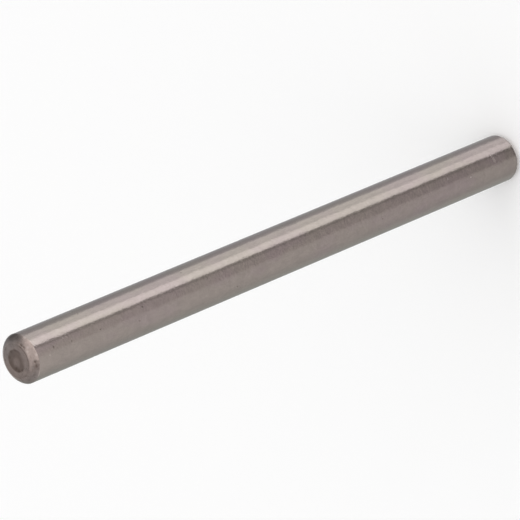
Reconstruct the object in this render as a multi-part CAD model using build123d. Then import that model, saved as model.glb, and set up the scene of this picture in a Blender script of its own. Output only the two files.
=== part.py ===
from build123d import *
import os

# Dowel pin of solid ground steel, turned in one piece. A cylindrical shank ends in a crowned chamfer and a
# flat face at both ends. The head face, at the top, has a shallow round dimple with a rolled lip, and the
# foot face is plain. The pin stands on its foot, with its axis along +Z and the origin in the middle of the
# foot face. All lengths are in millimetres.

# Shank
PIN_DIAMETER = 5.0
PIN_LENGTH = 70.0

# Chamfer at each end: its length along the axis, its depth inwards, how far it is crowned, and the radius
# that its two edges are worn to
CHAMFER_LENGTH = 0.68
CHAMFER_DEPTH = 0.725
CHAMFER_CROWN = 0.09
CHAMFER_EDGE_RADIUS = 0.2

# Dimple in the head face: a bowed wall that runs from the rolled lip down to a flat floor
DIMPLE_DIAMETER = 2.4
DIMPLE_DEPTH = 0.12
DIMPLE_FLOOR_DIAMETER = 0.9
DIMPLE_WALL_BOW = 0.025
DIMPLE_LIP_RADIUS = 0.6


def corner(section, place):
    """The corner of a section that lies at a place."""
    return section.vertices().sort_by_distance(place)[0]


def half_section():
    """The pin's lengthwise section on one side of the axis, drawn as (radius, height), with its worn corners."""
    shank_radius = PIN_DIAMETER / 2
    face_radius = shank_radius - CHAMFER_DEPTH
    floor_height = PIN_LENGTH - DIMPLE_DEPTH
    foot_centre = (0, 0)
    foot_edge = (face_radius, 0)
    foot_rim = (shank_radius, CHAMFER_LENGTH)
    head_rim = (shank_radius, PIN_LENGTH - CHAMFER_LENGTH)
    head_edge = (face_radius, PIN_LENGTH)
    dimple_mouth = (DIMPLE_DIAMETER / 2, PIN_LENGTH)
    floor_edge = (DIMPLE_FLOOR_DIAMETER / 2, floor_height)
    floor_centre = (0, floor_height)
    outline = [
        Line(foot_centre, foot_edge),
        SagittaArc(foot_edge, foot_rim, -CHAMFER_CROWN),
        Line(foot_rim, head_rim),
        SagittaArc(head_rim, head_edge, -CHAMFER_CROWN),
        Line(head_edge, dimple_mouth),
        SagittaArc(floor_edge, dimple_mouth, -DIMPLE_WALL_BOW),
        Polyline(floor_edge, floor_centre, foot_centre),
    ]
    section = make_face(outline)
    chamfer_edges = [corner(section, place) for place in (foot_edge, foot_rim, head_rim, head_edge)]
    section = fillet(chamfer_edges, radius=CHAMFER_EDGE_RADIUS)
    return fillet(corner(section, dimple_mouth), radius=DIMPLE_LIP_RADIUS)


def dowel_pin():
    """The whole pin, turned once round its axis."""
    return revolve(Plane.XZ * half_section(), axis=Axis.Z)


os.makedirs("parts", exist_ok=True)
export_step(dowel_pin(), "parts/dowel_pin.step")
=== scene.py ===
import math

import bmesh
import bpy
from bpy.props import FloatProperty, FloatVectorProperty, IntProperty, PointerProperty
from mathutils import Matrix, Vector


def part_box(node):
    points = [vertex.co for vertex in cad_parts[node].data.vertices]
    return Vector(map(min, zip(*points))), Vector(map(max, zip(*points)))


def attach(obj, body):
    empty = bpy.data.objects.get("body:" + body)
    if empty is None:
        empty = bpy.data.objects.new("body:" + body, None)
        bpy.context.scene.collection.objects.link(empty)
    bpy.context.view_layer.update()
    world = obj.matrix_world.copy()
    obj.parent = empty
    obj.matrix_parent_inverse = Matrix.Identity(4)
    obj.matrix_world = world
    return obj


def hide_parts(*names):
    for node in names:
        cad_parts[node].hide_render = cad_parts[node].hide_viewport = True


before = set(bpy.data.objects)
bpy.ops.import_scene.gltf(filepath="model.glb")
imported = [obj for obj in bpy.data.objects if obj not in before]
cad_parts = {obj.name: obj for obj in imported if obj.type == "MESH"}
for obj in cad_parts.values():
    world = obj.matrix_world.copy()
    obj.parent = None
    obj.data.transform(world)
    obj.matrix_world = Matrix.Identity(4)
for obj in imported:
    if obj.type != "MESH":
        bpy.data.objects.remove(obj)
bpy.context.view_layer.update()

bl_info = {
    "name": "Dowel Pin",
    "version": (1, 0, 0),
    "blender": (4, 5, 0),
    "location": "View3D > Sidebar > Dowel Pin",
    "description": "A ground steel dowel pin, standing on its foot in a soft light tent",
    "category": "Add Mesh",
}

NODE = "dowel_pin"
BODY = "root"
PIN_LOW, PIN_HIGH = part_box(NODE)
MM = 0.001
PER_MM = 1000.0
MICROMETRE = 0.001 * MM

# Steps of the pin's section, from one corner to the next
FACE_STEPS = 16
CHAMFER_STEPS = 30
DIMPLE_STEPS = 20
SHANK_STEPS = 30
EDGE_STEPS = 6

# Small dents in the head: degrees round the axis from -Y towards +X, place on the chamfer from the
# face's edge (0) to the rim (1), and length round the pin, width across it and depth in millimetres
HEAD_DENTS = (
    (53.0, 0.24, 0.44, 0.24, 0.01),
    (40.0, 0.17, 0.40, 0.22, 0.05),
    (28.5, 0.22, 0.26, 0.16, 0.03),
    (36.5, -0.14, 0.36, 0.15, 0.03),
    (14.0, -0.17, 1.50, 0.12, 0.02),
    (8.0, -0.16, 0.50, 0.13, 0.02),
    (-7.0, 0.36, 0.40, 0.20, 0.01),
    (-12.0, -0.18, 0.40, 0.12, 0.02),
    (-20.5, 0.67, 0.28, 0.23, 0.05),
    (-26.0, 0.72, 0.30, 0.12, 0.02),
    (-31.0, 0.73, 0.46, 0.22, 0.05),
    (-40.0, 0.39, 0.34, 0.20, 0.01),
    (-38.0, 0.86, 0.40, 0.16, 0.01),
    (-56.0, 0.62, 0.40, 0.18, 0.01),
    (-75.0, -0.06, 0.26, 0.14, 0.02),
    (-81.0, 0.50, 0.70, 0.40, 0.015),
    (-103.0, 0.36, 0.40, 0.18, 0.01),
    (162.0, -0.30, 0.26, 0.16, 0.03),
)

# The mesh layer that keeps how much dirt the dents hold, the depth in millimetres from which a dent is
# full of it, the share of its depth at which a dent ends, and how many chamfer lengths down the dents
# reach
DENT_LAYER = "dent"
FULL_DENT = 0.03
LEAST_DENT = 0.02
DENT_REACH = 1.5

# Dark patches in the dimple, partly dirt and partly painted shade of its rolled lip, and a painted
# highlight on
# its floor: degrees round the axis, distance from it and size across, in millimetres
DIMPLE_DIRT_AND_SHADE = (
    (-130.0, 0.82, 0.42),
    (-105.0, 1.04, 0.54),
    (-78.0, 1.08, 0.40),
    (145.0, 0.98, 0.50),
    (104.0, 1.06, 0.50),
    (70.0, 1.12, 0.50),
)
DIMPLE_PAINTED_HIGHLIGHT = ((-145.0, 0.28, 1.25),)

# Painted highlights and stains on the head's chamfer: degrees round the axis, place on the chamfer as for
# the dents, and size across in millimetres
CHAMFER_PAINTED_HIGHLIGHTS = (
    (45.0, 0.94, 0.50),
    (20.0, 0.50, 0.42),
    (12.0, 0.26, 0.36),
    (11.0, 0.97, 0.30),
    (-4.0, 0.88, 0.42),
    (-28.0, 0.43, 0.26),
    (-36.0, 0.30, 0.36),
    (-44.0, 0.78, 0.36),
    (-52.0, 0.46, 0.34),
)
CHAMFER_STAINS = (
    (52.0, 0.74, 0.46),
    (44.0, 0.66, 0.26),
    (28.0, 0.38, 0.26),
    (20.0, 0.95, 0.32),
    (12.0, 0.73, 0.28),
    (-20.0, 0.91, 0.32),
)

# Dark pits and bright marks on the shank: degrees round the axis, height above the foot and size
# across, in millimetres
SHANK_PITS = (
    (-3.0, 67.2, 0.26),
    (-6.5, 64.9, 0.22),
    (-7.5, 61.1, 0.20),
    (3.0, 55.3, 0.28),
    (-41.5, 42.6, 0.28),
    (43.0, 48.6, 0.22),
    (49.0, 62.3, 0.22),
    (-67.0, 37.2, 0.22),
)
SHANK_MARKS = (
    (13.0, 4.0, 0.34),
    (5.5, 3.9, 0.54),
    (-1.5, 3.9, 0.50),
    (1.5, 11.1, 0.45),
    (-16.0, 7.9, 0.30),
    (-16.5, 67.9, 0.28),
    (7.0, 65.8, 0.24),
    (64.0, 62.6, 0.26),
    (-68.5, 35.7, 0.30),
)

# Where a round spot starts to fade and where it ends, as shares of its size across
SPOT_CORE = 0.15
SPOT_END = 0.55

# Small pits and marks scattered over the shank: cells to a millimetre, size of a speck as a share of
# its cell, share of the cells that hold one, and seed. Then where a speck starts to fade, as a share of
# its size, and the step in chance between a bare cell and one that holds a speck.
PIT_SPECKS = (0.85, 0.10, 0.2, 11.0)
MARK_SPECKS = (0.9, 0.08, 0.1, 23.0)
SPECK_CORE = 0.4
CHANCE_STEP = 0.02

# Noise in the steel: waves to a millimetre round the pin and along it, detail, seed, and how far it is
# warped out of its grid
SHANK_NOISE = {
    "lines": (0.12, 7.0, 3.0, 0.0, 2.0),
    "waves": (0.9, 0.9, 3.0, 7.0, 0.0),
    "ripple": (2.0, 2.0, 2.0, 13.0, 2.0),
    "grain": (4.0, 4.0, 2.0, 3.0, 2.0),
    "scuffs": (2.6, 0.7, 3.0, 41.0, 1.0),
    "stains": (0.35, 0.2, 2.0, 31.0, 0.0),
}
ENDS_NOISE = {
    "mottle": (1.6, 1.6, 3.0, 5.0, 0.0),
    "grain": (7.0, 7.0, 2.0, 17.0, 0.0),
}
NOISE_MIDDLE = 0.5

# How far each noise sways the tone and the roughness of the steel, and how high it stands in
# micrometres
SHANK_TONE_SWAY = {"lines": 0.1, "grain": 1.0, "scuffs": 0.9, "waves": 0.6}
SHANK_ROUGHNESS_SWAY = {"grain": 0.10, "lines": 0.01}
SHANK_RELIEF = {"waves": 16.0, "ripple": 10.0, "lines": 0.04, "grain": 0.5}
ENDS_TONE_SWAY = {"mottle": 1.7, "grain": 0.9}
ENDS_ROUGHNESS_SWAY = {"mottle": 0.2}
ENDS_RELIEF = {"mottle": 8.0, "grain": 0.5}

# Tone runs from 0 at a steel's darkest shade to 1 at its lightest. The shades are shares of its red,
# green and blue.
MIDDLE_TONE = 0.5
WARM_SHADES = ((0.89, 0.92, 0.885), (1.11, 1.145, 1.10))
COOL_SHADES = ((0.89, 0.88, 0.90), (1.11, 1.10, 1.13))
BROWN_SHADES = ((0.80, 0.77, 0.755), (1.2, 1.155, 1.13))
GREY_SHADES = ((0.80, 0.82, 0.83), (1.2, 1.225, 1.24))

# Sides of the pin that differ: degrees round the axis, and the distances from the axis, in millimetres,
# between which the difference sets in
WARM_SIDE = (-60.0, 0.8, 2.5)
GREY_RIGHT = (118.0, 0.2, 1.6)
GREY_LEFT = (-80.0, 1.5, 2.4)
# The dimple's side with less painted shade, and its side with more
PAINTED_LIT_SIDE = (-10.0, 0.45, 1.0)
PAINTED_SHADED_SIDE = (205.0, 0.4, 0.9)

# The shank's stains turn from warm to cool over this range of their noise, which is lower on the warm
# side
STAIN_RANGE = (0.35, 0.65)
WARM_SIDE_SHIFT = 0.15

# The shank's roughness, and what its pits and marks add to it. How much dirt a pit holds, how bare a
# mark is, and how deep a pit is in micrometres.
SHANK_ROUGHNESS = 0.18
PIT_ROUGHNESS = 0.15
MARK_ROUGHNESS = 0.1
PIT_DIRT = 0.5
MARK_GLINT = 0.25
PIT_DEPTH = 3.0

# The roughness of the ends, and what the dimple and the dents add to it
ENDS_ROUGHNESS = 0.30
DIMPLE_ROUGHNESS = 0.32
DENT_ROUGHNESS = 0.2

# Rings on the ends, in millimetres: how far inside and outside its mouth the dimple's look fades, the
# ring of painted shade along the face's edge and how soft it is, and half the width of the worn edge and
# how soft that is
MOUTH_INSIDE = 0.15
MOUTH_OUTSIDE = 0.05
EDGE_RING = 0.16
EDGE_RING_SOFT = 0.12
WORN_EDGE = 0.03
WORN_EDGE_SOFT = 0.05

# Turning rings: their pitch in millimetres, how far the mottling sways them, their height in
# micrometres, and what the dimple adds to that
RING_PITCH = 0.13
RING_SWAY = 4.0
RING_HEIGHT = 0.12
DIMPLE_RING_HEIGHT = 2.2

# How much the dimple is darkened by dirt and painted shade, how much less on its painted lit side and under
# its painted highlight, and how much more on its painted shaded side. Then the dirt and painted shade in
# its patches, the painted shade along the face's edge, and the dirt in the dents and in the stains.
DIMPLE_FILM_AND_SHADE = 0.46
LIT_SIDE_LESS = 0.43
HIGHLIGHT_LESS = 0.40
SHADED_SIDE_MORE = 0.15
PATCH_DIRT = 0.20
EDGE_PAINTED_SHADE = 0.13
DENT_DIRT = 0.72
STAIN_DIRT = 0.20

# How bare the metal is along the worn edge, and how strong the painted highlights on the chamfer are
WORN_EDGE_GLINT = 0.15
CHAMFER_HIGHLIGHT_SHARE = 0.20

# Upright panels of the light tent, each over the ones before it: azimuth in degrees from -Y towards +X
# where it begins and ends, how soft its edges are, and its brightness in red, green and blue
FRONT_PANEL = (1.05, 1.03, 1.03)
TENT_PANELS = {
    "left wall": (-300.0, -108.0, 98.0, (0.475, 0.495, 0.47)),
    "grey card": (-23.0, 22.0, 6.0, (0.98, 0.94, 0.94)),
    "black flag": (16.5, 40.0, 5.0, (0.64, 0.62, 0.605)),
    "strip light": (30.0, 80.0, 3.0, (2.19, 2.22, 2.21)),
    "side light": (61.5, 120.0, 3.0, (1.34, 1.355, 1.34)),
    "back wall": (99.5, 300.0, 6.0, (0.67, 0.67, 0.68)),
    "far wall": (119.0, 300.0, 20.0, (0.535, 0.54, 0.55)),
    "rear light, right half": (170.0, 300.0, 12.0, (1.25, 1.25, 1.25)),
    "rear light, left half": (-300.0, -170.0, 12.0, (1.25, 1.25, 1.25)),
}

# The rest of the tent, by azimuth or by height from -1 straight down to 1 straight up. Two numbers are
# where a soft step begins and ends, and three are where a band begins and ends and how soft its edges
# are. The overhead light has the azimuth and elevation that it comes from, and a step in the cosine
# away from them.
PANEL_TOPS = (-0.12, 0.3)
KEY_LEFT = (-62.0, -14.0)
KEY_RIGHT = (74.0, 90.0)
KEY_DIP = (0.25, 0.65)
KEY_CROWN = (0.84, 0.98)
OVERHEAD_AIM = (-90.0, 78.0)
OVERHEAD_SPREAD = (0.86, 1.01)
FADE_DEPTH = (0.55, 0.85)
FADE_SIDES = (-110.0, 66.0, 20.0)
CARD_SIDES = (-21.0, 30.0, 6.0)
CORNER_NEAR = (82.0, 92.0)
CORNER_DEEP = (98.0, 112.0)
CORNER_FAR = (134.0, 164.0)
CORNER_HEIGHT = (-0.28, 0.60, 0.25)
STRIP_SIDES = (-104.0, -80.0, 8.0)
STRIP_HEIGHT = (-0.5, -0.05, 0.1)

# Shares of the key light low down, lost in its dip and added at its crown, and what the fade gains at
# the grey card. Then the shares of the dark corner's two steps, and how many degrees its far end leans
# with height.
KEY_LOW = 1.17
KEY_DIP_LESS = 0.40
KEY_CROWN_MORE = 0.22
CARD_FADE = 0.34
CORNER_NEAR_SHARE = 0.4
CORNER_DEEP_SHARE = 0.6
CORNER_LEAN = 20.0

# Sides of the round floor, and how many times nearer and farther than the pin the camera's view is cut
# off
FLOOR_SIDES = 96
CLIP_RANGE = 100


def heading(azimuth, elevation=0.0):
    """The direction at an azimuth from -Y towards +X and an elevation, both in degrees."""
    turn = math.radians(azimuth)
    rise = math.radians(elevation)
    return (math.sin(turn) * math.cos(rise), -math.cos(turn) * math.cos(rise), math.sin(rise))


# Shader sums

class Wire:
    """An output socket of a shader tree. Python sums on wires add Math nodes to that tree."""

    def __init__(self, tree, socket=None):
        self.tree = tree
        self.socket = socket

    def node(self, kind, settings=None, sockets=None, output=0):
        """Adds a node, with its settings first and then its sockets' values or wires. Gives an output."""
        made = self.tree.nodes.new(kind)
        for name, value in (settings or {}).items():
            setattr(made, name, value)
        for name, value in (sockets or {}).items():
            target = find_socket(made.inputs, name)
            if isinstance(value, Wire):
                self.tree.links.new(value.socket, target)
            else:
                target.default_value = value
        if not made.outputs:
            return None
        return Wire(self.tree, find_socket(made.outputs, output))

    def other(self, output):
        """Another output of the node that this wire comes from."""
        return Wire(self.tree, find_socket(self.socket.node.outputs, output))

    def math(self, operation, *values):
        """A Math node on numbers or wires."""
        return self.node("ShaderNodeMath", {"operation": operation}, dict(enumerate(values)))

    def vector(self, operation, *others, output="Vector"):
        """A Vector Math node on this wire and others."""
        sockets = dict(enumerate((self, *others)))
        return self.node("ShaderNodeVectorMath", {"operation": operation}, sockets, output)

    def __add__(self, other):
        return self.math("ADD", self, other)

    def __radd__(self, other):
        return self.math("ADD", other, self)

    def __sub__(self, other):
        return self.math("SUBTRACT", self, other)

    def __rsub__(self, other):
        return self.math("SUBTRACT", other, self)

    def __mul__(self, other):
        return self.math("MULTIPLY", self, other)

    def __rmul__(self, other):
        return self.math("MULTIPLY", other, self)

    def __neg__(self):
        return self.math("MULTIPLY", self, -1.0)

    def step(self, low, high):
        """A smooth step from 0 at low to 1 at high."""
        sockets = {"Value": self, "From Min": low, "From Max": high}
        return self.node("ShaderNodeMapRange", {"interpolation_type": "SMOOTHSTEP"}, sockets)

    def band(self, low, high, soft):
        """1 from low to high, with edges as wide as soft."""
        rise = self.step(low - soft / 2, low + soft / 2)
        fall = self.step(high - soft / 2, high + soft / 2)
        return rise * (1 - fall)

    def towards(self, azimuth, elevation=0.0):
        """How far this vector reaches towards an azimuth and an elevation."""
        return self.vector("DOT_PRODUCT", heading(azimuth, elevation), output="Value")

    def mix(self, first, second):
        """The first colour where this wire is 0, the second where it is 1."""
        sockets = {"Factor_Float": self, "A_Color": opaque(first), "B_Color": opaque(second)}
        return self.node("ShaderNodeMix", {"data_type": "RGBA"}, sockets, "Result_Color")

    def split(self):
        """The three numbers of a vector or colour."""
        first = self.node("ShaderNodeSeparateXYZ", sockets={"Vector": self}, output="X")
        return first, first.other("Y"), first.other("Z")


def find_socket(sockets, name):
    """A socket by its place, by its identifier, or else by its name."""
    if isinstance(name, int):
        return sockets[name]
    for socket in sockets:
        if socket.identifier == name:
            return socket
    return sockets[name]


def opaque(colour):
    """A colour of three numbers with full alpha. A wire stays as it is."""
    if isinstance(colour, Wire):
        return colour
    return (*colour[:3], 1.0)


def empty_tree(owner):
    """A wire to start sums from in the emptied shader tree of a material or a world."""
    owner.use_nodes = True
    owner.node_tree.nodes.clear()
    return Wire(owner.node_tree)


def surface(start, sockets):
    """A material's shader, with the values or wires of its sockets."""
    shader = start.node("ShaderNodeBsdfPrincipled", sockets=sockets)
    start.node("ShaderNodeOutputMaterial", sockets={"Surface": shader})


# Sizes and colours

class PinSizes(bpy.types.PropertyGroup):
    """The pin's sizes."""

    length: FloatProperty(name="Length", description="From foot to head", unit="LENGTH",
                          default=PIN_HIGH.z - PIN_LOW.z)
    diameter: FloatProperty(name="Diameter", description="Of the ground shank", unit="LENGTH",
                            default=PIN_HIGH.x - PIN_LOW.x)
    chamfer_length: FloatProperty(name="Chamfer length", description="Along the axis", unit="LENGTH",
                                  default=0.68 * MM)
    chamfer_depth: FloatProperty(name="Chamfer depth", description="Towards the axis", unit="LENGTH",
                                 default=0.725 * MM)
    chamfer_crown: FloatProperty(name="Chamfer crown", description="How far the chamfer bulges",
                                 unit="LENGTH", default=0.09 * MM)
    dimple_diameter: FloatProperty(name="Dimple diameter", description="At the mouth", unit="LENGTH",
                                   default=2.4 * MM)
    dimple_depth: FloatProperty(name="Dimple depth", description="Below the head face", unit="LENGTH",
                                default=0.12 * MM)
    dimple_floor: FloatProperty(name="Dimple floor", description="Diameter of the flat floor",
                                unit="LENGTH", default=0.9 * MM)
    dimple_bow: FloatProperty(name="Dimple bow", description="How far the dimple's wall bows out",
                              unit="LENGTH", default=0.025 * MM)
    lip_radius: FloatProperty(name="Lip radius", description="Of the dimple's rolled lip", unit="LENGTH",
                              default=0.6 * MM)
    edge_radius: FloatProperty(name="Edge radius", description="Of the chamfers' worn edges",
                               unit="LENGTH", default=0.2 * MM)
    sides: IntProperty(name="Sides", description="Steps round the pin", default=360, min=16)


class PinFinish(bpy.types.PropertyGroup):
    """The colours of the steel."""

    steel: FloatVectorProperty(name="Ground steel", description="Colour of the shank", subtype="COLOR",
                               size=3, min=0, max=1, default=(0.308, 0.262, 0.249))
    ends: FloatVectorProperty(name="Turned ends", description="Colour of the chamfers and faces",
                              subtype="COLOR", size=3, min=0, max=1, default=(0.297, 0.250, 0.234))
    # This bright metal colour is also that of the painted highlights on the head's chamfer
    bare_metal_and_highlight: FloatVectorProperty(name="Glint", description="Colour of bare, bright metal", subtype="COLOR",
                               size=3, min=0, max=1, default=(0.56, 0.50, 0.47))
    # Also the colour of the painted shade in the dimple and along the face's edge
    dirt_and_shade: FloatVectorProperty(name="Dirt", description="Colour in the pits and the dimple",
                              subtype="COLOR", size=3, min=0, max=1, default=(0.078, 0.054, 0.040))


class StageLook(bpy.types.PropertyGroup):
    """The floor, the light and the camera."""

    floor: FloatVectorProperty(name="Floor", description="Colour of the floor", subtype="COLOR", size=3,
                               min=0, max=1, default=(0.96, 0.96, 0.96))
    floor_glow: FloatProperty(name="Floor glow", description="What is added to the floor where it shows",
                              default=0.065)
    floor_radius: FloatProperty(name="Floor radius", description="Of the round floor", unit="LENGTH",
                                default=3.0)
    surround: FloatProperty(name="Surround", description="Brightness of the tent's upper part",
                            default=0.65)
    key_light: FloatProperty(name="Key light", description="Brightness of the soft light over the camera",
                             default=0.90)
    overhead: FloatProperty(name="Overhead", description="Brightness of the soft light over the pin",
                            default=0.45)
    dark_corner: FloatProperty(name="Dark corner", default=0.60,
                               description="Share of light that the tent's corner lacks")
    side_strip: FloatProperty(name="Side strip", default=0.6,
                              description="Brightness that the low strip on the left adds")
    fade: FloatProperty(name="Fade", description="How much darker the panels are lower down", default=0.42)
    lens: FloatProperty(name="Lens", description="Focal length in millimetres", default=298.7)
    distance: FloatProperty(name="Distance", description="From the camera to the pin's middle",
                            unit="LENGTH", default=0.42875)
    elevation: FloatProperty(name="Elevation", description="Of the camera above the floor",
                             subtype="ANGLE", default=math.radians(41.46))
    roll: FloatProperty(name="Roll", description="Of the camera about its line of sight",
                        subtype="ANGLE", default=math.radians(-112.8))
    aim_right: FloatProperty(name="Aim right", description="How far right of the middle the pin shows",
                             unit="LENGTH", default=1.28 * MM)
    aim_up: FloatProperty(name="Aim up", description="How far above the middle the pin shows",
                          unit="LENGTH", default=0.67 * MM)


# The pin's shape

def arc_points(start, end, bow, steps):
    """Points along an arc that bows to the right by the given rise, without its start and end."""
    chord = end - start
    half = chord.length / 2
    right = Vector((chord.y, -chord.x)).normalized()
    radius = (half * half + bow * bow) / (2 * bow)
    middle = (start + end) / 2 - right * (radius - bow)
    opening = 2 * math.asin(half / radius)
    turns = [Matrix.Rotation(opening * step / steps, 2) for step in range(1, steps)]
    return [middle + turn @ (start - middle) for turn in turns]


def line_points(start, end, steps):
    """Points spaced evenly along a line, without its start and end."""
    return [start.lerp(end, step / steps) for step in range(1, steps)]


def round_corner(section, corner, radius):
    """The section with a corner rounded off to a radius."""
    index = section.index(corner)
    turn = math.pi - (section[index - 1] - corner).angle(section[index + 1] - corner)
    reach = radius * math.tan(turn / 2)
    before = [point for point in section[:index] if (point - corner).length > reach]
    after = [point for point in section[index + 1:] if (point - corner).length > reach]
    start = corner + (before[-1] - corner).normalized() * reach
    end = corner + (after[0] - corner).normalized() * reach
    shares = [step / EDGE_STEPS for step in range(EDGE_STEPS + 1)]
    bend = [start.lerp(corner, share).lerp(corner.lerp(end, share), share) for share in shares]
    return before + bend + after


def pin_section(sizes):
    """The pin's half-section from the middle of the foot to the middle of the head, as (radius, height)."""
    shank = sizes.diameter / 2
    face = shank - sizes.chamfer_depth
    top = sizes.length
    floor_height = top - sizes.dimple_depth
    foot_centre = Vector((0, 0))
    foot_edge = Vector((face, 0))
    foot_rim = Vector((shank, sizes.chamfer_length))
    head_rim = Vector((shank, top - sizes.chamfer_length))
    head_edge = Vector((face, top))
    mouth = Vector((sizes.dimple_diameter / 2, top))
    floor_edge = Vector((sizes.dimple_floor / 2, floor_height))
    floor_centre = Vector((0, floor_height))
    section = [foot_centre, *line_points(foot_centre, foot_edge, FACE_STEPS), foot_edge]
    section += [*arc_points(foot_edge, foot_rim, sizes.chamfer_crown, CHAMFER_STEPS), foot_rim]
    section += [*line_points(foot_rim, head_rim, SHANK_STEPS), head_rim]
    section += [*arc_points(head_rim, head_edge, sizes.chamfer_crown, CHAMFER_STEPS), head_edge]
    section += [*line_points(head_edge, mouth, FACE_STEPS), mouth]
    section += arc_points(floor_edge, mouth, sizes.dimple_bow, DIMPLE_STEPS)[::-1]
    section += [floor_edge, *line_points(floor_edge, floor_centre, FACE_STEPS), floor_centre]
    for corner in (foot_edge, foot_rim, head_rim, head_edge):
        section = round_corner(section, corner, sizes.edge_radius)
    return round_corner(section, mouth, sizes.lip_radius)


def lathe(name, section, sides):
    """A closed mesh turned from a half-section whose two ends are on the axis."""
    places = [(0, 0, section[0].y)]
    for radius, height in section[1:-1]:
        for side in range(sides):
            turn = math.tau * side / sides
            places.append((radius * math.sin(turn), -radius * math.cos(turn), height))
    places.append((0, 0, section[-1].y))
    last = len(places) - 1
    top = last - sides
    faces = []
    for side in range(sides):
        beside = (side + 1) % sides
        faces.append((0, 1 + beside, 1 + side))
        faces.append((top + side, top + beside, last))
        for low in range(1, top, sides):
            high = low + sides
            faces.append((low + side, low + beside, high + beside, high + side))
    mesh = bpy.data.meshes.new(name)
    mesh.from_pydata(places, [], faces)
    return mesh


def dent_head(mesh, sizes):
    """Presses the dents into the head's chamfer and face, and keeps the dirt that they hold in a layer."""
    face = sizes.diameter / 2 - sizes.chamfer_depth
    slope = math.hypot(sizes.chamfer_depth, sizes.chamfer_length)
    lowest = sizes.length - DENT_REACH * sizes.chamfer_length
    layer = mesh.attributes.new(DENT_LAYER, "FLOAT", "POINT")
    moves = []
    for vertex in mesh.vertices:
        x, y, z = vertex.co
        radius = math.hypot(x, y)
        if z < lowest or radius < sizes.dimple_diameter / 2:
            continue
        turn = math.atan2(x, -y)
        for angle, place, length, width, depth in HEAD_DENTS:
            apart = (turn - math.radians(angle) + math.pi) % math.tau - math.pi
            along = apart * radius / (length * MM / 2)
            over = ((radius - face) / sizes.chamfer_depth - place) * slope / (width * MM / 2)
            share = math.exp(-along ** 2 - over ** 2)
            if share > LEAST_DENT:
                dirt_and_shade = share * min(1.0, depth / FULL_DENT)
                moves.append((vertex.index, vertex.normal * (-depth * MM * share), dirt_and_shade))
    for index, move, dirt_and_shade in moves:
        mesh.vertices[index].co += move
        layer.data[index].value = max(layer.data[index].value, dirt_and_shade)


def part_finishes(mesh, sizes):
    """Gives the shank's faces the first finish and those of the two ends the second."""
    for face in mesh.polygons:
        height = face.center.z
        on_shank = sizes.chamfer_length < height < sizes.length - sizes.chamfer_length
        face.material_index = 0 if on_shank else 1


# The pin's finish

def steel_noise(place, around, along, detail, seed, warp):
    """Noise from 0 to 1 with so many waves to a millimetre round the pin and along it."""
    scale = (around * PER_MM, around * PER_MM, along * PER_MM)
    spread = place.vector("MULTIPLY_ADD", scale, (seed, seed, seed))
    sockets = {"Vector": spread, "Scale": 1.0, "Detail": detail, "Distortion": warp}
    return place.node("ShaderNodeTexNoise", sockets=sockets)


def steel_noises(place, table):
    """The noises of a table, by their names."""
    return {name: steel_noise(place, *row) for name, row in table.items()}


def swayed(middle, noises, sways):
    """A number that noises sway up and down from its middle."""
    for name, sway in sways.items():
        middle = middle + (noises[name] - NOISE_MIDDLE) * sway
    return middle


def shaded(tone, colour, shades):
    """A colour between its darkest and its lightest shade, by its tone."""
    dark, light = [[part * share for part, share in zip(colour, shade)] for shade in shades]
    return tone.mix(dark, light)


def on_side(place, azimuth, begin, end):
    """A step from 0 to 1 across the pin, between two distances from the axis towards an azimuth."""
    return place.towards(azimuth).step(begin * MM, end * MM)


def specks(place, cells_per_mm, size, share, seed):
    """Scattered round specks: one in a share of the cells, each as large as size times a cell."""
    spread = place.vector("MULTIPLY_ADD", (cells_per_mm * PER_MM,) * 3, (seed, seed, seed))
    sockets = {"Vector": spread, "Scale": 1.0}
    distance = place.node("ShaderNodeTexVoronoi", sockets=sockets, output="Distance")
    chance, _, _ = distance.other("Color").split()
    return (1 - distance.step(size * SPECK_CORE, size)) * (1 - chance.step(share, share + CHANCE_STEP))


def spots(place, rows):
    """Soft round spots, each with its angle round the axis, distance from it, height and size across."""
    sum_of_spots = 0.0
    for angle, radius, height, across in rows:
        turn = math.radians(angle)
        centre = (radius * math.sin(turn), -radius * math.cos(turn), height)
        distance = place.vector("DISTANCE", centre, output="Value")
        sum_of_spots = sum_of_spots + (1 - distance.step(across * SPOT_CORE, across * SPOT_END))
    return sum_of_spots


def shank_spots(place, table, sizes):
    """The spots of a table on the shank."""
    radius = sizes.diameter / 2
    return spots(place, [(angle, radius, height * MM, across * MM) for angle, height, across in table])


def dimple_spots(place, table, sizes):
    """The spots of a table in the dimple."""
    height = sizes.length - sizes.dimple_depth / 2
    return spots(place, [(angle, radius * MM, height, across * MM) for angle, radius, across in table])


def chamfer_spots(place, table, sizes):
    """The spots of a table on the head's chamfer."""
    rows = []
    for angle, share, across in table:
        radius = sizes.diameter / 2 - sizes.chamfer_depth * (1 - share)
        height = sizes.length - sizes.chamfer_length * share
        rows.append((angle, radius, height, across * MM))
    return spots(place, rows)


def bare_steel(start, colour, roughness, relief):
    """A bare metal surface with a relief in micrometres."""
    sockets = {"Strength": 1.0, "Distance": MICROMETRE, "Height": relief}
    bump = start.node("ShaderNodeBump", sockets=sockets)
    surface(start, {"Base Color": colour, "Metallic": 1.0, "Roughness": roughness, "Normal": bump})


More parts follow.
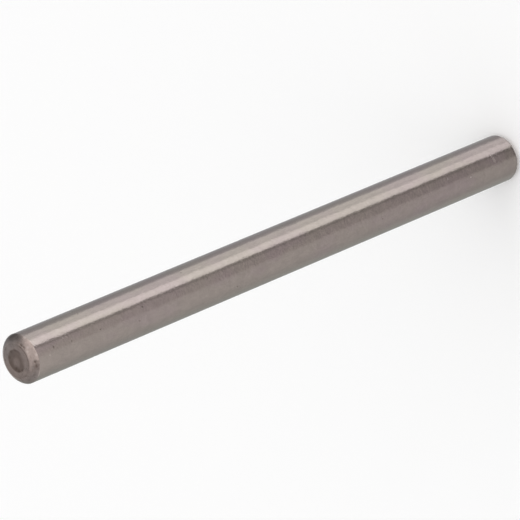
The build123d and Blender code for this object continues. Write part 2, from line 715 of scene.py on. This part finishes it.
def ground_shank(finish, sizes):
    """Ground steel with fine lines round it, a slight waviness, stains, grain, pits and marks."""
    material = bpy.data.materials.new("ground_shank")
    start = empty_tree(material)
    place = start.node("ShaderNodeTexCoord", output="Object")
    noises = steel_noises(place, SHANK_NOISE)
    pits = shank_spots(place, SHANK_PITS, sizes) + specks(place, *PIT_SPECKS)
    marks = shank_spots(place, SHANK_MARKS, sizes) + specks(place, *MARK_SPECKS)
    tone = swayed(MIDDLE_TONE, noises, SHANK_TONE_SWAY)
    warm = shaded(tone, finish.steel, WARM_SHADES)
    cool = shaded(tone, finish.steel, COOL_SHADES)
    stains = (noises["stains"] - on_side(place, *WARM_SIDE) * WARM_SIDE_SHIFT).step(*STAIN_RANGE)
    colour = stains.mix(warm, cool)
    colour = (pits * PIT_DIRT).mix(colour, finish.dirt_and_shade)
    colour = (marks * MARK_GLINT).mix(colour, finish.bare_metal_and_highlight)
    roughness = swayed(SHANK_ROUGHNESS, noises, SHANK_ROUGHNESS_SWAY)
    roughness = roughness + pits * PIT_ROUGHNESS + marks * MARK_ROUGHNESS
    relief = swayed(0.0, noises, SHANK_RELIEF) - pits * PIT_DEPTH
    bare_steel(start, colour, roughness, relief)
    return material


def turned_ends(finish, sizes):
    """Duller, mottled steel with turning rings, dark in the dents, darkened by dirt and painted shade in
    the dimple, with painted shade along the face's edge, painted highlights on the chamfer and the dimple's
    floor, and bright on worn edges.
    """
    material = bpy.data.materials.new("turned_ends")
    start = empty_tree(material)
    place = start.node("ShaderNodeTexCoord", output="Object")
    noises = steel_noises(place, ENDS_NOISE)
    dents = start.node("ShaderNodeAttribute", {"attribute_name": DENT_LAYER}, output="Fac")
    _, _, height = place.split()
    head = height.step(0.0, sizes.length)
    radius = place.vector("MULTIPLY", (PER_MM, PER_MM, 0.0)).vector("LENGTH", output="Value")
    mouth = sizes.dimple_diameter / 2 * PER_MM
    face = (sizes.diameter / 2 - sizes.chamfer_depth) * PER_MM
    dimple = (1 - radius.step(mouth - MOUTH_INSIDE, mouth + MOUTH_OUTSIDE)) * head
    # A ring of painted shade along the face's edge
    edge_shade = radius.band(face - EDGE_RING, face, EDGE_RING_SOFT) * head
    worn = radius.band(face - WORN_EDGE, face + WORN_EDGE, WORN_EDGE_SOFT)
    rings = start.math("SINE", radius * (math.tau / RING_PITCH) + noises["mottle"] * RING_SWAY)
    # Dark patches in the dimple, dirt and painted shade of its lip
    patches = dimple_spots(place, DIMPLE_DIRT_AND_SHADE, sizes)
    # A painted highlight on the dimple's floor
    dimple_highlight = dimple_spots(place, DIMPLE_PAINTED_HIGHLIGHT, sizes)
    stains = chamfer_spots(place, CHAMFER_STAINS, sizes)
    # Painted highlights on the chamfer
    painted_highlights = chamfer_spots(place, CHAMFER_PAINTED_HIGHLIGHTS, sizes)
    tone = swayed(MIDDLE_TONE, noises, ENDS_TONE_SWAY)
    brown = shaded(tone, finish.ends, BROWN_SHADES)
    grey = shaded(tone, finish.ends, GREY_SHADES)
    colour = (on_side(place, *GREY_RIGHT) + on_side(place, *GREY_LEFT)).mix(brown, grey)
    # Dirt and painted shade in the dimple: less on its lit side and under its painted highlight, more on
    # its shaded side
    film_and_shade = DIMPLE_FILM_AND_SHADE - on_side(place, *PAINTED_LIT_SIDE) * LIT_SIDE_LESS - dimple_highlight * HIGHLIGHT_LESS
    film_and_shade = film_and_shade + on_side(place, *PAINTED_SHADED_SIDE) * SHADED_SIDE_MORE
    # Dirt, with painted shade in the dimple and along the face's edge
    dirt_and_shade = dimple * film_and_shade + edge_shade * EDGE_PAINTED_SHADE + patches * PATCH_DIRT + dents * DENT_DIRT + stains * STAIN_DIRT
    colour = dirt_and_shade.mix(colour, finish.dirt_and_shade)
    # Bare metal on the worn edge, and painted highlights on the chamfer
    bare_and_highlight = worn * noises["grain"] * WORN_EDGE_GLINT + painted_highlights * CHAMFER_HIGHLIGHT_SHARE
    colour = bare_and_highlight.mix(colour, finish.bare_metal_and_highlight)
    roughness = swayed(ENDS_ROUGHNESS, noises, ENDS_ROUGHNESS_SWAY)
    roughness = roughness + dimple * DIMPLE_ROUGHNESS + dents * DENT_ROUGHNESS
    relief = rings * (RING_HEIGHT + dimple * DIMPLE_RING_HEIGHT) + swayed(0.0, noises, ENDS_RELIEF)
    bare_steel(start, colour, roughness, relief)
    return material


class DOWEL_OT_turn_pin(bpy.types.Operator):
    """Turn the pin, wear its edges, dent its head and finish its steel"""

    bl_idname = "dowel.turn_pin"
    bl_label = "Turn the pin"

    def execute(self, context):
        sizes = context.scene.dowel_sizes
        finish = context.scene.dowel_finish
        if sizes.dimple_diameter >= sizes.diameter - 2 * sizes.chamfer_depth:
            raise ValueError("the dimple is wider than the head face")
        mesh = lathe("ground_pin", pin_section(sizes), sizes.sides)
        dent_head(mesh, sizes)
        mesh.materials.append(ground_shank(finish, sizes))
        mesh.materials.append(turned_ends(finish, sizes))
        part_finishes(mesh, sizes)
        mesh.shade_smooth()
        pin = bpy.data.objects.new("ground_pin", mesh)
        context.scene.collection.objects.link(pin)
        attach(pin, BODY)
        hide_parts(NODE)
        return {"FINISHED"}


# The stage

def light_tent(look):
    """The soft light all round: upright panels below, and a key light and an overhead light above."""
    world = bpy.data.worlds.new("light_tent")
    start = empty_tree(world)
    direction = start.node("ShaderNodeTexCoord", output="Generated")
    x, y, z = direction.split()
    azimuth = start.math("ARCTAN2", x, -y) * math.degrees(1.0)
    panels = FRONT_PANEL
    for low, high, soft, brightness in TENT_PANELS.values():
        panels = azimuth.band(low, high, soft).mix(panels, brightness)
    key = azimuth.step(*KEY_LEFT) * (1 - azimuth.step(*KEY_RIGHT))
    key = key * (KEY_LOW - z.step(*KEY_DIP) * KEY_DIP_LESS + z.step(*KEY_CROWN) * KEY_CROWN_MORE)
    overhead = direction.towards(*OVERHEAD_AIM).step(*OVERHEAD_SPREAD)
    dome = look.surround + key * look.key_light + overhead * look.overhead
    fade = (-z).step(*FADE_DEPTH) * azimuth.band(*FADE_SIDES)
    fade = fade * (look.fade + azimuth.band(*CARD_SIDES) * CARD_FADE)
    corner = azimuth.step(*CORNER_NEAR) * CORNER_NEAR_SHARE + azimuth.step(*CORNER_DEEP) * CORNER_DEEP_SHARE
    corner = (corner - (azimuth + z * CORNER_LEAN).step(*CORNER_FAR)) * z.band(*CORNER_HEIGHT)
    strip = azimuth.band(*STRIP_SIDES) * z.band(*STRIP_HEIGHT)
    light = (1 - fade) * (1 - corner * look.dark_corner) * (1 + strip * look.side_strip)
    sockets = {"Color": z.step(*PANEL_TOPS).mix(panels, dome), "Strength": light}
    background = start.node("ShaderNodeBackground", sockets=sockets)
    start.node("ShaderNodeOutputWorld", sockets={"Surface": background})
    return world


def lay_floor(look):
    """A round pale floor under the pin. The steel shows the tent and not the floor."""
    work = bmesh.new()
    bmesh.ops.create_circle(work, cap_ends=True, segments=FLOOR_SIDES, radius=look.floor_radius)
    mesh = bpy.data.meshes.new("floor")
    work.to_mesh(mesh)
    work.free()
    material = bpy.data.materials.new("pale_floor")
    start = empty_tree(material)
    rays = start.node("ShaderNodeLightPath", output="Is Camera Ray")
    shown = rays + rays.other("Is Glossy Ray") + rays.other("Is Transmission Ray")
    surface(start, {
        "Base Color": opaque(look.floor),
        "Emission Color": shown.mix((0.0, 0.0, 0.0), (look.floor_glow,) * 3),
        "Emission Strength": 1.0,
        "Roughness": 0.9,
        "Specular IOR Level": 0.0,
    })
    mesh.materials.append(material)
    floor = bpy.data.objects.new("floor", mesh)
    floor.location.z = PIN_LOW.z
    floor.visible_glossy = False
    return floor


def place_camera(look):
    """A camera in front of the pin, raised and rolled so that the pin lies across the picture."""
    level_right = Vector((1, 0, 0))
    back = Vector(heading(0.0, math.degrees(look.elevation)))
    right = level_right * math.cos(look.roll) + back.cross(level_right) * math.sin(look.roll)
    up = back.cross(right)
    middle = (PIN_LOW + PIN_HIGH) / 2
    place = middle + back * look.distance - right * look.aim_right - up * look.aim_up
    optics = bpy.data.cameras.new("camera")
    optics.lens = look.lens
    optics.clip_start = look.distance / CLIP_RANGE
    optics.clip_end = look.distance * CLIP_RANGE
    camera = bpy.data.objects.new("camera", optics)
    camera.matrix_world = Matrix.Translation(place) @ Matrix((right, up, back)).transposed().to_4x4()
    return camera


class DOWEL_OT_set_stage(bpy.types.Operator):
    """Lay the floor, light the tent and place the camera"""

    bl_idname = "dowel.set_stage"
    bl_label = "Set the stage"

    def execute(self, context):
        scene = context.scene
        look = scene.dowel_stage
        scene.collection.objects.link(lay_floor(look))
        scene.world = light_tent(look)
        scene.camera = place_camera(look)
        scene.collection.objects.link(scene.camera)
        scene.view_settings.view_transform = "Standard"
        return {"FINISHED"}


class DOWEL_PT_panel(bpy.types.Panel):
    """The pin's sizes, finish and stage, and what makes them"""

    bl_label = "Dowel Pin"
    bl_idname = "DOWEL_PT_panel"
    bl_space_type = "VIEW_3D"
    bl_region_type = "UI"
    bl_category = "Dowel Pin"

    def draw(self, context):
        scene = context.scene
        for operator, groups in (
            (DOWEL_OT_turn_pin, (scene.dowel_sizes, scene.dowel_finish)),
            (DOWEL_OT_set_stage, (scene.dowel_stage,)),
        ):
            for group in groups:
                for name in group.__annotations__:
                    self.layout.prop(group, name)
            self.layout.operator(operator.bl_idname)


CLASSES = (PinSizes, PinFinish, StageLook, DOWEL_OT_turn_pin, DOWEL_OT_set_stage, DOWEL_PT_panel)


def register():
    for made in CLASSES:
        bpy.utils.register_class(made)
    bpy.types.Scene.dowel_sizes = PointerProperty(type=PinSizes)
    bpy.types.Scene.dowel_finish = PointerProperty(type=PinFinish)
    bpy.types.Scene.dowel_stage = PointerProperty(type=StageLook)


def unregister():
    del bpy.types.Scene.dowel_stage
    del bpy.types.Scene.dowel_finish
    del bpy.types.Scene.dowel_sizes
    for made in reversed(CLASSES):
        bpy.utils.unregister_class(made)


def main():
    register()
    bpy.ops.dowel.turn_pin()
    bpy.ops.dowel.set_stage()


if __name__ == "__main__":
    main()
